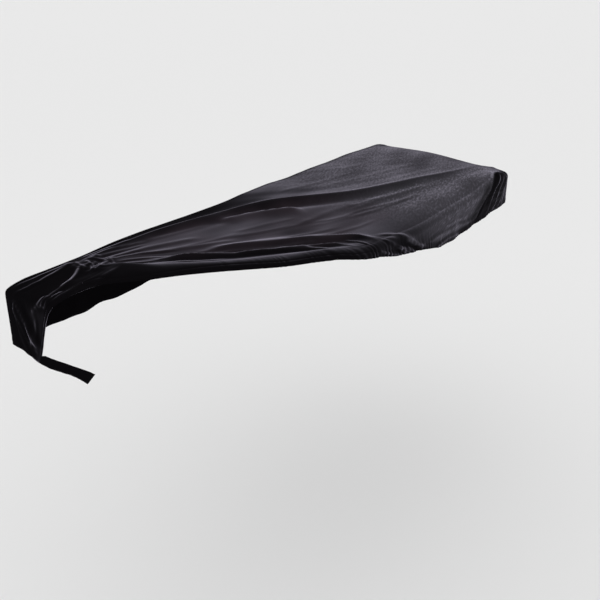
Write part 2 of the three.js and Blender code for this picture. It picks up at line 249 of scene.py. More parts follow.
def alongPath(path, a, b):  # distance to the path, the side it lies on and the share of the path run
    path = np.asarray(path, float)
    lengths = np.hypot(*np.diff(path, axis=0).T)
    best = np.full(np.shape(a), np.inf)
    side, share = np.zeros_like(best), np.zeros_like(best)
    for k, (start, end) in enumerate(zip(path, path[1:])):
        dx, dy = end - start
        u = np.clip(((a - start[0]) * dx + (b - start[1]) * dy) / lengths[k] ** 2, 0, 1)
        px, py = a - start[0] - u * dx, b - start[1] - u * dy
        distance = np.hypot(px, py)
        nearer = distance < best
        best = np.where(nearer, distance, best)
        side = np.where(nearer, dx * py - dy * px, side)
        share = np.where(nearer, (lengths[:k].sum() + u * lengths[k]) / lengths.sum(), share)
    return best, side, share


def crispPeak(distance, width):  # what a fold's crest adds to its round form
    width = np.maximum(crispCrest["width"] * width, crispCrest["least"])
    return crispCrest["share"] * bell(distance, width)


def foldHeight(fold, a, b):
    height, far, near, path = fold
    distance, side, share = alongPath(path, a, b)
    taper = ease(0, foldTaper, share) * ease(1, 1 - foldTaper, share)
    width = np.where(side > 0, far, near)
    return height * (bell(distance, width) + crispPeak(distance, width)) * taper


def mainFoldHeight(a, b):
    s = mainFoldShape
    height = read(mainFold, "height", a) * ease(*s["start"], a)
    q = b - read(mainFold, "y", a)
    near = read(mainFold, "near", a)
    nearSide = bell(q, near) - s["trough"] * bell(q + s["troughAt"] * near, s["troughWidth"])
    return height * (np.where(q > 0, bell(q, s["far"]), nearSide) + crispPeak(q, near))


def mainFolds(a, b):
    return mainFoldHeight(a, b) + sum(foldHeight(fold, a, b) for fold in folds.values())


def topZ(x, y):
    behind = (read(backEdge, "z", x) - across["z"][-1]) * ease(*backEdgeFade, y)
    q = np.clip((leftBevel["width"] - x) / leftBevel["width"], 0, 1)
    bevel = leftBevel["drop"] * (1 - np.sqrt(1 - q * q))
    soft = ease(*softFront["rise"], x) * ease(*softFront["fall"][::-1], x)
    roll = softFront["drop"] * soft * np.clip((softFront["y"] - y) / softFront["width"], 0, 1) ** 2
    lift = read(crest, "lift", x) * bell(y - crestY(x), crestWidth)
    return read(across, "z", y) + behind - bevel - roll + lift


def columnPlaces():
    x = np.linspace(top["left"], top["right"], cloth["curveSteps"])
    packed = np.concatenate([[0], np.cumsum(read(columnDensity, "density", (x[1:] + x[:-1]) / 2))])
    return np.interp(np.linspace(0, packed[-1], cloth["columns"] + 1), packed, x)


def packedSteps(count, start):  # shares from 0 to 1 that start close together
    u = np.linspace(0, 1, count + 1)[None]
    return u * (start + (1 - start) * u)


def rowPlaces(x):
    fold, front = read(mainFold, "y", x)[:, None], crestY(x)[:, None]
    toFold = packedSteps(cloth["rowsToFold"], cloth["rowPacking"][0])
    behind = packedSteps(cloth["rowsBehindFold"], cloth["rowPacking"][1])[:, 1:]
    toFold, behind = front + (fold - front) * toFold, fold + (top["back"] - fold) * behind
    return np.concatenate([toFold, behind], axis=1)


def rimStops():  # once round the top's rim, the way that the skirt is built
    columns, rows = cloth["columns"], cloth["rowsToFold"] + cloth["rowsBehindFold"]
    front = [(i, 0, "front") for i in range(columns)]
    right = [(columns, j, "right") for j in range(rows)]
    back = [(i, rows, "back") for i in range(columns, 0, -1)]
    left = [(0, j, "left") for j in range(rows, 0, -1)]
    i, j, side = zip(*front, *right, *back, *left)
    return np.array(i), np.array(j), np.array(side)


# each stop's way out, reach, lowest point and how much the elastic draws it in
def wallForm(side, x, y):
    onSide = {name: side == name for name in ("front", "right", "back", "left")}
    free = onSide["front"] & (x < freeHemEnd)
    pastX, pastY = top["right"] - x, top["back"] - y
    alongX, alongY = x - top["left"], y - top["front"]

    def cornerShare(distance):
        return np.clip(1 - distance / edge["cornerTurn"], 0, 1)

    def turn(distance):
        return math.pi / 4 * cornerShare(distance)

    def pick(*perSide):
        return np.select(list(onSide.values()), perSide)

    square = pick(-math.pi / 2, 0, math.pi / 2, math.pi)
    swing = pick(turn(pastX), turn(pastY) - turn(alongY), turn(alongX) - turn(pastX), -turn(pastY))
    out = np.stack([np.cos(square + swing), np.sin(square + swing)], axis=-1)
    nearest = pick(pastX, np.minimum(alongY, pastY), np.minimum(alongX, pastX), pastY)
    reach = pick(edge["front"], edge["right"], edge["back"], edge["left"]) * (
        1 + (edge["cornerReach"] - 1) * cornerShare(nearest)
    )
    second = hemWave["secondShare"] * np.sin(2 * math.pi * (x - y) / hemWave["second"])
    wave = hemWave["height"] * (np.sin(2 * math.pi * (x + y) / hemWave["length"]) + second)
    low = pick(read(frontHem, "z", x), wave, wave, read(leftHem, "z", y))
    drawn = pick(ease(tuck["from"], tuck["to"], x), 1, 1, 0)
    toHem = np.stack([read(freeHem, "x", x) - x, read(freeHem, "y", x) - y], axis=-1)
    length = np.hypot(*toHem.T)
    return {
        "out": np.where(free[:, None], toHem / length[:, None], out),
        "reach": np.where(free, length, reach),
        "low": np.where(free, read(freeHem, "z", x), low),
        "gather": np.where(free, 0, drawn * ease(0, gathers["cornerFade"], nearest)),
        "loose": free | (drawn == 0),
    }


def skirtPoints(side, x, y):  # round the edge first, then straight down to the hem
    wall = {name: value[:, None] for name, value in wallForm(side, x, y).items()}
    out = wall["out"]
    rings, arcRings = cloth["rings"], cloth["arcRings"]
    ring = np.arange(1, rings + 1)[None]
    x, y = x[:, None], y[:, None]
    z = topZ(x[:, 0], y[:, 0])[:, None]
    drop = z - wall["low"]
    rounded = np.minimum(drop, wall["reach"])
    arc = math.pi / 2 * np.hypot(wall["reach"], rounded) * math.sqrt(0.5)
    length = arc + drop - rounded
    arcShare = np.minimum(arc / length, arcRings / rings)
    below = 1 - np.clip(1 - (ring - arcRings) / (rings - arcRings), 0, 1) ** cloth["ringPacking"]
    share = np.where(ring <= arcRings, arcShare * ring / arcRings, arcShare + (1 - arcShare) * below)
    along = share * length
    angle = math.pi / 2 * np.minimum(along / arc, 1)
    down = rounded * (1 - np.cos(angle)) + np.maximum(along - arc, 0)
    aboveHem = drop - down
    steep = np.arctan2(rounded * np.sin(angle), wall["reach"] * np.cos(angle))
    a, b = x + out[..., 0] * along, y + out[..., 1] * along
    beat = (x - y) * 2 * math.pi
    second = gathers["secondShare"] * np.sin(beat / gathers["second"] + gathers["secondPhase"])
    swing = np.sin(beat / gathers["length"]) + second
    gather = wall["gather"] * gathers["depth"] * np.exp(-aboveHem / gathers["reach"]) * swing
    tucked = wall["gather"] * tuck["depth"] * np.clip(1 - aboveHem / tuck["height"], 0, 1) ** 2
    lift = mainFolds(a, b) * np.where(wall["loose"], ease(*freeFade, aboveHem), 1)
    outward = wall["reach"] * np.sin(angle) + lift * np.sin(steep) + gather - tucked
    points = np.stack(
        [x + out[..., 0] * outward, y + out[..., 1] * outward, z - down + lift * np.cos(steep)], axis=-1
    )
    return points, a, b, length - along


def quads(grid):  # the four-sided faces of a grid of point numbers
    corners = grid[:-1, :-1], grid[1:, :-1], grid[1:, 1:], grid[:-1, 1:]
    return np.stack(corners, axis=-1).reshape(-1, 4)


def growFlap(start):  # rows of points that run on from its root, which is part of the left wall's hem
    width = np.linspace(0, 1, len(start))[None]
    t = np.linspace(0, 1, cloth["flapSteps"] + 1)[1:, None]
    at = {name: read(flap, name, t) for name in flap}
    upper = flapShape["upperInset"]
    x = start[None, :, 0] + at["inset"] * (upper + (1 - upper) * width)
    y = at["yUp"] + (at["yLow"] - at["yUp"]) * width
    z = at["zUp"] + (at["zLow"] - at["zUp"]) * width
    toHem = np.hypot(at["yLow"] - at["yUp"], at["zLow"] - at["zUp"]) * (1 - width)
    return np.stack([x, y, z], axis=-1), toHem, flapShape["rimRun"] * t + 0 * width


def clothSheet():  # the cloth's middle surface, its four-sided faces and what is known at each point
    x = columnPlaces()
    y = rowPlaces(x)
    columns, rows = y.shape
    flatX = np.broadcast_to(x[:, None], y.shape)
    topIds = np.arange(columns * rows).reshape(columns, rows)
    topPoints = np.stack([flatX, y, topZ(flatX, y) + mainFolds(flatX, y)], axis=-1).reshape(-1, 3)

    # the skirt hangs from the rim, stop by stop
    i, j, side = rimStops()
    skirt, a, b, toHem = skirtPoints(side, x[i], y[i, j])
    around, rings = a.shape
    belowRim = topIds.size + np.arange(a.size).reshape(a.shape)
    ids = np.concatenate([topIds[i, j][:, None], belowRim], axis=1)
    skirtIds = np.concatenate([ids, ids[:1]])
    points = np.concatenate([topPoints, skirt.reshape(-1, 3)])

    # how far along the rim each column of the skirt stands
    rimPoints = np.stack([x[i], y[i, j]], axis=-1)
    rimRun = np.concatenate([[0], np.cumsum(np.hypot(*np.diff(rimPoints, axis=0).T))])
    frontRun = np.append(rimRun[: columns - 1], rimRun[columns - 1])

    # how far each point of the top lies from the hem: past the rim, then down its column's skirt
    downColumn = np.diff(np.concatenate([topPoints[topIds[i, j]][:, None], skirt], axis=1), axis=1)
    rimToHem = np.linalg.norm(downColumn, axis=2).sum(axis=1)
    frontDepth = rimToHem[: columns - 1]
    frontDepth = np.append(frontDepth, frontDepth[-1])

    # the flap grows out of the hem between two rows of the left wall
    firstRow, lastRow = flapShape["rootRows"]
    root = np.array([ids[around - row, rings] for row in range(firstRow, lastRow + 1)])
    flapPoints, flapToHem, flapRun = growFlap(points[root])
    onFlap = len(points) + np.arange(flapToHem.size).reshape(flapToHem.shape)
    flapIds = np.concatenate([root[None], onFlap])
    flapLaid = np.stack([flapPoints[..., 2] - bodyFrame["top"], flapPoints[..., 1]], axis=-1)
    laid = np.stack([flatX, y], axis=-1), np.stack([a, b], axis=-1), flapLaid
    hemDistance = frontDepth[:, None] + y - y[:, :1], toHem, flapToHem
    alongRim = np.repeat(frontRun, rows), np.repeat(rimRun, rings), (rimRun[-1] + flapRun).reshape(-1)
    grids = topIds, skirtIds[:, ::-1], flapIds[:, ::-1]
    return {
        "points": np.concatenate([points, flapPoints.reshape(-1, 3)]),
        "laid": np.concatenate([part.reshape(-1, 2) for part in laid]),
        "faces": np.concatenate([quads(grid) for grid in grids]),
        "coarse": np.concatenate([quads(grid[::2, ::2]) for grid in grids]),
        "hemDistance": np.concatenate([part.reshape(-1) for part in hemDistance]),
        "alongRim": np.concatenate(alongRim),
        "flapStart": rimRun[-1] + 1,
    }


def pointNormals(points, faces):
    corners = points[faces]
    faceNormals = np.cross(corners[:, 2] - corners[:, 0], corners[:, 3] - corners[:, 1])
    normals = np.zeros_like(points)
    for k in range(4):
        np.add.at(normals, faces[:, k], faceNormals)
    return normals / np.linalg.norm(normals, axis=1, keepdims=True)


def openEdges(faces):  # the sheet's border, as directed edges that no other face shares
    pairs = np.concatenate([faces[:, [k, (k + 1) % 4]] for k in range(4)])
    size = faces.max() + 1
    forward, backward = pairs[:, 0] * size + pairs[:, 1], pairs[:, 1] * size + pairs[:, 0]
    return pairs[~np.isin(forward, backward)]


# ---- creases, wrinkles and the gathered hem, laid on the main form
# name: height, width on its far side, width on its near side, path on the unrolled cloth
creases = {
    "fan, first": (1.4, 4, 3, [(150, 398), (196, 394), (238, 389), (280, 385)]),
    "fan, second": (1.4, 4, 3, [(152, 392), (203, 386), (240, 376), (270, 368), (300, 362)]),
    "fan, third": (1.5, 4, 3, [(150, 382), (180, 378), (208, 370), (245, 360), (290, 352)]),
    "fan, fourth": (1.3, 4, 3, [(158, 370), (190, 358), (222, 346), (262, 334)]),
    "fan, fifth": (1.5, 4, 3, [(176, 352), (205, 342), (235, 324), (262, 300), (300, 276)]),
    "fan, sixth": (1.5, 4, 3, [(178, 338), (200, 322), (224, 302), (256, 268), (290, 236)]),
    "fan, seventh": (1.3, 4, 3, [(176, 322), (196, 304), (222, 276), (252, 246)]),
    "fan, eighth": (1.3, 4, 4, [(150, 292), (180, 280), (211, 262), (240, 232), (270, 206)]),
    "fan, low line": (1.4, 6, 5, [(300, 250), (360, 212), (430, 182), (500, 150)]),
    "cuff, upper line": (1.6, 5, 4, [(168, 300), (195, 268), (230, 235), (270, 205), (320, 168)]),
    "top edge of the roll": (1.8, 9, 6, [
        (292, 252), (336, 208), (412, 156), (478, 128), (546, 95), (587, 64), (606, 39), (612, 6),
    ]),
    "roll, second line": (1.8, 6, 5, [(290, 226), (360, 174), (420, 142), (480, 112)]),
    "roll, third line": (1.6, 6, 5, [(396, 138), (440, 112), (480, 84), (505, 56)]),
    "roll, end": (2, 4, 3, [(556, 72), (567, 40), (560, 8)]),
    "drawn cloth, upper": (2.2, 7, 5, [
        (616, 38), (640, 27), (668, 12), (700, -6), (734, -22), (778, -38), (820, -48),
    ]),
    "drawn cloth, middle": (2, 6, 4, [(604, 22), (625, 3), (656, -15), (710, -31), (752, -46)]),
    "drawn cloth, lower": (1.8, 5, 4, [(640, -6), (680, -24), (724, -44), (770, -64)]),
    "drawn cloth, low fold": (1.8, 4, 3, [(560, 0), (590, -12), (630, -26), (700, -44)]),
    "pocket, upper lip": (2.4, 7, 6, [
        (618, 20), (646, 6), (690, 0), (730, -14), (768, -36), (800, -52),
    ]),
    "pocket, first stroke": (2, 5, 4, [(648, -8), (684, -30), (712, -46), (744, -60)]),
    "pocket, second stroke": (2, 5, 4, [(700, -22), (734, -40), (766, -58)]),
    "over the hem, first": (2.2, 7, 5, [
        (1110, -58), (1078, -57), (1043, -56), (976, -48), (911, -45), (853, -42), (800, -44),
    ]),
    "over the hem, second": (1.6, 5, 4, [
        (1016, -74), (984, -70), (935, -65), (880, -68), (840, -74),
    ]),
    "over the hem, third": (1.3, 6, 4, [(1060, -42), (1000, -36), (940, -33), (880, -34)]),
    "back left edge": (1.2, 4, 4, [
        (-4, 402), (12, 400), (38, 394), (70, 389), (110, 390), (147, 392),
    ]),
    "back left line": (2, 4, 4, [
        (-8, 396), (4, 384), (20, 375), (40, 370), (69, 376), (101, 384), (137, 394),
    ]),
    "across the left end": (1.8, 4, 4, [
        (134, 378), (123, 364), (91, 338), (55, 313), (29, 304), (8, 310), (-6, 318), (-24, 344),
    ]),
    "cuff crest": (2.2, 4, 5, [
        (150, 286), (139, 281), (113, 279), (83, 277), (57, 279), (24, 289), (3, 300), (-8, 314),
    ]),
    "left crease, foot": (1.8, 4, 4, [(12, 313), (-3, 324), (-12, 334), (-28, 350)]),
    "small roll at the hem": (2, 4, 4, [(30, 292), (14, 302), (-4, 307), (-14, 318)]),
    "crumple, first": (1.6, 3, 3, [
        (152, 392), (157, 384), (174, 368), (181, 344), (166, 312), (146, 292),
    ]),
    "crumple, second": (1.8, 3, 3, [(156, 384), (140, 352), (124, 326), (128, 304), (140, 290)]),
    "crumple, third": (1.6, 3, 3, [(152, 378), (146, 352), (142, 330), (140, 312)]),
    "crumple, fourth": (1.4, 3, 3, [(172, 350), (156, 344), (140, 330), (128, 322)]),
    "crumple, fifth": (1.6, 3, 3, [(140, 394), (134, 376), (130, 358), (118, 348)]),
    "crumple, sixth": (1.4, 3, 3, [(176, 332), (162, 326), (150, 316), (146, 302)]),
    "crumple, seventh": (1.4, 3, 3, [(166, 366), (154, 360), (142, 362), (134, 368)]),
    "left wall, first": (1.4, 5, 4, [(-6, 396), (-22, 392), (-41, 385), (-82, 366), (-100, 358)]),
    "left wall, second": (1.6, 5, 4, [(-6, 391), (-33, 370), (-66, 352), (-95, 346)]),
    "left wall, third": (1.4, 4, 4, [(-10, 380), (-41, 362), (-58, 350), (-84, 338)]),
    "left wall, fourth": (1.3, 4, 4, [(-30, 338), (-59, 341), (-88, 345)]),
    "left wall, fifth": (1.2, 4, 4, [(-46, 362), (-60, 358), (-78, 356), (-96, 362)]),
    "corner, first": (3, 6, 4, [
        (1053, -66), (1095, -54), (1127, -37), (1161, -20), (1191, -6), (1236, 8), (1285, 24),
    ]),
    "corner, second": (2, 5, 4, [(1177, -78), (1187, -50), (1211, -26), (1264, -2), (1296, 14)]),
    "corner, third": (1.5, 5, 4, [(1230, -84), (1238, -50), (1258, -26), (1276, -9), (1300, 4)]),
    "corner, fourth": (1.4, 5, 4, [(1292, -76), (1306, -45), (1306, -20), (1318, 2)]),
    "streak, first": (0.9, 6, 5, [
        (570, 190), (610, 172), (649, 156), (690, 145), (724, 143), (758, 137), (817, 122),
        (887, 105), (950, 94),
    ]),
    "streak, second": (0.7, 7, 6, [(740, 170), (820, 158), (890, 146)]),
    "streak, third": (0.6, 7, 6, [(560, 176), (640, 150), (729, 128), (800, 112)]),
    "streak, fourth": (0.6, 6, 5, [(430, 262), (520, 238), (600, 214)]),
    "streak, fifth": (0.6, 7, 6, [(820, 300), (960, 262), (1110, 232), (1230, 214)]),
    "streak, sixth": (0.6, 7, 6, [(700, 352), (860, 322), (1020, 300)]),
    "streak, seventh": (0.5, 6, 6, [(960, 350), (1080, 328), (1220, 318)]),
    "streak, eighth": (0.6, 7, 6, [(1000, 196), (1100, 176), (1220, 150)]),
    "streak, ninth": (0.7, 6, 5, [(330, 240), (400, 204), (480, 168), (560, 140), (640, 118)]),
    "streak, tenth": (0.7, 6, 5, [(380, 262), (470, 222), (560, 192), (660, 176)]),
    "streak, eleventh": (0.7, 6, 5, [(420, 176), (500, 138), (580, 112), (660, 92), (740, 84)]),
    "streak, twelfth": (0.7, 6, 5, [(680, 136), (780, 118), (880, 104), (980, 98)]),
    "streak, thirteenth": (0.6, 6, 5, [(300, 290), (380, 262), (450, 244)]),
}
# the crown is where a crease's pile catches the light
creaseShape = {
    "reach": 3,
    "taper": 0.2,
    "foot": 0.3,
    "footAt": 2.2,
    "crownAt": 1.1,
    "mostCrown": 1.2,
    "crownWidth": 0.6,
}
# waves: seed, count, longest, shortest
wrinkles = {
    "height": 0.24,
    "lines": 5.5,
    "length": 300,
    "spread": (30, 200),
    "leastShare": 0.35,
    "waves": (4, 26, 3, 0.9),
}
hem = {
    "casing": 13,
    "groove": 0.8,
    "grooveWidth": 1.6,
    "puff": 0.5,
    "ruffle": 16,
    "reach": 16,
    "slant": 9,
    "drift": 3.2,
    "driftWaves": (11, 10, 160, 50),
    "swell": (0.65, 0.35),
    "swellLimits": (0.1, 1.5),
    "swellWaves": (12, 8, 90, 30),
}
ruffleAmount = table(
    "x amount",
    (9, 0.35), (60, 0.3), (140, 0.35), (200, 0.25), (300, 0.5), (400, 0.9), (470, 1.3), (520, 1.4),
    (600, 1.5), (700, 1.3), (850, 0.9), (1000, 0.8), (1329, 0.7),
)


def waves(seed, count, longest, shortest):  # plane waves for a smooth random field
    rng = np.random.default_rng(seed)
    turn = rng.uniform(0, math.pi, count)
    length = np.exp(rng.uniform(math.log(shortest), math.log(longest), count))
    return np.stack([np.cos(turn) / length, np.sin(turn) / length, rng.uniform(0, 1, count)])


def field(parts, u, v):
    total = np.zeros(np.shape(u))
    for alongU, alongV, start in parts.T:
        total += np.sin(2 * math.pi * (u * alongU + v * alongV + start))
    return total / math.sqrt(parts.shape[1] / 2)


def creaseHeight(crease, a, b):
    height, far, near, path = crease
    c = creaseShape
    path = np.asarray(path, float)
    reach = c["reach"] * max(far, near)
    low, high = path.min(axis=0) - reach, path.max(axis=0) + reach
    close = (a > low[0]) & (a < high[0]) & (b > low[1]) & (b < high[1])
    lifted, crown = np.zeros(np.shape(a)), np.zeros(np.shape(a))
    distance, side, share = alongPath(path, a[close], b[close])
    taper = ease(0, c["taper"], share) * ease(1, 1 - c["taper"], share)
    width = np.where(side > 0, far, near)
    foot = c["foot"] * bell(distance - c["footAt"] * near, near) * (side <= 0)
    lifted[close] = height * taper * (bell(distance, width) - foot)
    lit = min(height / c["crownAt"], c["mostCrown"])
    crown[close] = taper * lit * bell(distance, c["crownWidth"] * (far + near) / 2)
    return lifted, crown


def streakField(a, b):  # long shallow wrinkles that run with the cloth from the roll to the main fold
    front, fold = crestY(a), read(mainFold, "y", a)
    narrow, wide = wrinkles["spread"]
    spread = np.maximum(fold - front, narrow)
    lane = (b - front) / spread
    ripple = field(waves(*wrinkles["waves"]), lane * wrinkles["lines"], a / wrinkles["length"])
    return wrinkles["height"] * ripple * np.clip(spread / wide, wrinkles["leastShare"], 1)


def hemForm(sheet):  # the casing that holds the elastic, and the ruffles that it draws
    run, distance = sheet["alongRim"], sheet["hemDistance"]
    amount = read(ruffleAmount, "amount", sheet["laid"][:, 0])
    drift = field(waves(*hem["driftWaves"]), run, 0 * run)
    beat = 2 * math.pi * run / hem["ruffle"] + hem["drift"] * drift
    steady, varied = hem["swell"]
    swell = steady + varied * field(waves(*hem["swellWaves"]), run, 0 * run)
    swell = np.clip(swell, *hem["swellLimits"])
    ruffles = amount * swell * np.sin(beat + distance / hem["slant"]) * np.exp(-distance / hem["reach"])
    groove = -hem["groove"] * bell(distance - hem["casing"], hem["grooveWidth"])
    puff = hem["puff"] * np.sin(math.pi * np.clip(distance / hem["casing"], 0, 1))
    return ruffles, groove + puff


def dressSheet(sheet):
    a, b = sheet["laid"].T
    heights, crowns = zip(*(creaseHeight(crease, a, b) for crease in creases.values()))
    ruffles, casing = hemForm(sheet)
    lifted = sum(heights) + streakField(a, b) + ruffles + casing
    normals = pointNormals(sheet["points"], sheet["faces"])
    sheet["points"] = sheet["points"] + normals * lifted[:, None]
    sheet["crown"] = np.max(crowns, axis=0)
    sheet["ruffle"] = ruffles


# a fine outer skin and an inner one of every second line, joined at the hem
def closedCloth(name, sheet, thickness):
    points, faces = sheet["points"], sheet["faces"]
    half = pointNormals(points, faces) * thickness[:, None] / 2
    coarse = sheet["coarse"]
    used, inner = np.unique(coarse, return_inverse=True)
    inner = inner.reshape(coarse.shape) + len(points)
    innerId = dict(zip(used.tolist(), range(len(points), len(points) + len(used))))
    following = dict(openEdges(faces).tolist())
    rim = []
    for start, end in openEdges(coarse).tolist():
        middle = following[start]
        rim.append((start, innerId[start], innerId[end], middle))
        rim.append((middle, innerId[end], end))
    mesh = bpy.data.meshes.new(name)
    allFaces = faces.tolist() + inner[:, ::-1].tolist() + rim
    skins = np.concatenate([points + half, (points - half)[used]])
    mesh.from_pydata(inRow(skins).tolist(), [], allFaces)
    mesh.update()
    mesh.shade_smooth()
    laid = np.concatenate([sheet["laid"], sheet["laid"][used]]) / 1000
    corners = np.empty(len(mesh.loops), int)
    mesh.loops.foreach_get("vertex_index", corners)
    mesh.uv_layers.new(name="laidOut").data.foreach_set("uv", laid[corners].reshape(-1))
    sheet["all"] = np.concatenate([np.arange(len(points)), used])  # the sheet's point at each vertex
    obj = bpy.data.objects.new(name, mesh)
    bpy.context.scene.collection.objects.link(obj)
    return obj


sheet = clothSheet()
dressSheet(sheet)
print("cloth laid out,", len(sheet["points"]), "points and", len(creases), "creases")
atHem = sheet["hemDistance"] < cloth["hemEdge"]
thickness = np.where(atHem, cloth["hemThickness"], cloth["thickness"])
cover = closedCloth("velvetCover", sheet, thickness)
print("cloth closed,", len(cover.data.polygons), "faces")


# ---- velvet
velvet = {
    "deep": (0.0034, 0.003, 0.0036),
    # painted lilac sheen: a lighter base colour standing in for the sheen on the top's middle
    "painted_lilac_sheen": (0.021, 0.0155, 0.0195),
    # a lighter bluish grey for the crushed pile: partly the pile's own mottling, partly a painted sheen
    "crushed_grey_and_sheen": (0.030, 0.029, 0.033),
    "roughness": 0.8,
    "sheen": 0.5,
    "sheenRoughness": 0.3,
    "sheenTint": (0.87, 0.82, 1.0),
    "lie": (-0.45, -0.6, 0.1),  # which way the smoothed pile leans
    "patchSize": 9,
    "patchDetail": 3,
    "patchGain": (1.6, -0.3),
    "strokeSize": 140,
    "strokeDetail": 3,
    "strokeGain": (2.4, -0.7),
    "strokeStretch": (2.2, 0.7, 1),
    "strokeTurn": 20,
    "crush": 1.1,
    "grain": 0.25,
    "grainSize": 900,
    "grainDetail": 1,
    "bump": 0.5,
    "bumpDepth": 0.0006,
}


def link(tree, start, output, end, socket):
    tree.links.new(start.outputs[output], end.inputs[socket])


def node(tree, kind, **settings):
    made = tree.nodes.new(kind)
    for name, value in settings.items():
        setattr(made, name, value)
    return made


def mathNode(tree, operation, *inputs, clamp=False):  # each input is a number or (node, output)
    made = node(tree, "ShaderNodeMath", operation=operation, use_clamp=clamp)
    for k, value in enumerate(inputs):
        if isinstance(value, tuple):
            link(tree, *value, made, k)
        else:
            made.inputs[k].default_value = value
    return made, 0


def mixColours(tree, share, first, second):  # a colour is three numbers or (node, output)
    made = node(tree, "ShaderNodeMix", data_type="RGBA")
    link(tree, *share, made, 0)
    for socket, colour in ((6, first), (7, second)):
        if len(colour) == 2:
            link(tree, *colour, made, socket)
        else:
            made.inputs[socket].default_value = (*colour, 1)
    return made, 2


def makeNapGroup():  # how the pile lies: broad patches, short crushed strokes and a fine grain
    group = bpy.data.node_groups.new("nap", "ShaderNodeTree")
    face = group.interface
    for name in ("Patch Size", "Stroke Size", "Grain Size", "Lean", "Crush"):
        face.new_socket(name, in_out="INPUT", socket_type="NodeSocketFloat")
    for name in ("Patches", "Strokes", "Grain"):
        face.new_socket(name, in_out="OUTPUT", socket_type="NodeSocketFloat")
    face.new_socket("Leant Normal", in_out="OUTPUT", socket_type="NodeSocketVector")
    inside, outside = node(group, "NodeGroupInput"), node(group, "NodeGroupOutput")
    laid = node(group, "ShaderNodeUVMap", uv_map="laidOut")
    stretch = node(group, "ShaderNodeMapping", vector_type="TEXTURE")
    stretch.inputs["Scale"].default_value = velvet["strokeStretch"]
    stretch.inputs["Rotation"].default_value = (0, 0, math.radians(velvet["strokeTurn"]))
    link(group, laid, 0, stretch, "Vector")
    made = {}
    for name, size, source, detail in (
        ("Patches", "Patch Size", laid, velvet["patchDetail"]),
        ("Strokes", "Stroke Size", stretch, velvet["strokeDetail"]),
        ("Grain", "Grain Size", laid, velvet["grainDetail"]),
    ):
        noise = node(group, "ShaderNodeTexNoise")
        noise.inputs["Detail"].default_value = detail
        link(group, source, 0, noise, "Vector")
        link(group, inside, size, noise, "Scale")
        link(group, noise, 0, outside, name)
        made[name] = noise
    centred = mathNode(group, "SUBTRACT", (made["Strokes"], 0), 0.5)
    swing = mathNode(group, "MULTIPLY", centred, (inside, "Crush"))
    lean = mathNode(group, "ADD", swing, (inside, "Lean"))
    leant = node(group, "ShaderNodeVectorMath", operation="SCALE")
    leant.inputs[0].default_value = velvet["lie"]
    added = node(group, "ShaderNodeVectorMath", operation="ADD")
    unit = node(group, "ShaderNodeVectorMath", operation="NORMALIZE")
    link(group, *lean, leant, "Scale")
    link(group, node(group, "ShaderNodeNewGeometry"), "Normal", added, 0)
    link(group, leant, 0, added, 1)
    link(group, added, 0, unit, 0)
    link(group, unit, 0, outside, "Leant Normal")
    return group


# the tone attribute: red is where a lilac sheen is painted into the base colour, green how crushed the
# pile is (its lighter grey partly a painted sheen), and blue how far its pile leans
def velvetMaterial(napGroup):
    m = bpy.data.materials.new("velvet")
    m.use_nodes = True
    t = m.node_tree
    p = t.nodes["Principled BSDF"]
    p.inputs["Roughness"].default_value = velvet["roughness"]
    p.inputs["Specular IOR Level"].default_value = 0.0
    p.inputs["Sheen Weight"].default_value = velvet["sheen"]
    p.inputs["Sheen Roughness"].default_value = velvet["sheenRoughness"]
    p.inputs["Sheen Tint"].default_value = (*velvet["sheenTint"], 1)
    tones = node(t, "ShaderNodeAttribute", attribute_name="tone")
    parts = node(t, "ShaderNodeSeparateColor")
    link(t, tones, "Color", parts, 0)
    nap = node(t, "ShaderNodeGroup", node_tree=napGroup)
    nap.inputs["Patch Size"].default_value = velvet["patchSize"]
    nap.inputs["Stroke Size"].default_value = velvet["strokeSize"]
    nap.inputs["Grain Size"].default_value = velvet["grainSize"]
    link(t, parts, "Blue", nap, "Lean")
    link(t, *mathNode(t, "MULTIPLY", (parts, "Green"), velvet["crush"]), nap, "Crush")
    patch = mathNode(t, "MULTIPLY_ADD", (nap, "Patches"), *velvet["patchGain"])
    stroke = mathNode(t, "MULTIPLY_ADD", (nap, "Strokes"), *velvet["strokeGain"])
    # red share: where the lilac sheen is painted into the base colour, broken into random patches
    painted_lilac_sheen = mathNode(t, "MULTIPLY", (parts, "Red"), patch, clamp=True)
    # green share: crushed pile strokes, mixed towards a lighter grey that is partly a painted sheen
    crushed_and_sheen = mathNode(t, "MULTIPLY", (parts, "Green"), stroke, clamp=True)
    lilac_sheen_mixed = mixColours(t, painted_lilac_sheen, velvet["deep"], velvet["painted_lilac_sheen"])
    link(t, *mixColours(t, crushed_and_sheen, lilac_sheen_mixed, velvet["crushed_grey_and_sheen"]), p, "Base Color")
    crushedStrokes = mathNode(t, "MULTIPLY", (nap, "Strokes"), (parts, "Green"))
    height = mathNode(t, "MULTIPLY_ADD", (nap, "Grain"), velvet["grain"], crushedStrokes)
    bump = node(t, "ShaderNodeBump")
    bump.inputs["Strength"].default_value = velvet["bump"]
    bump.inputs["Distance"].default_value = velvet["bumpDepth"]
    link(t, *height, bump, "Height")
    link(t, nap, "Leant Normal", bump, "Normal")
    link(t, bump, 0, p, "Normal")
    return m


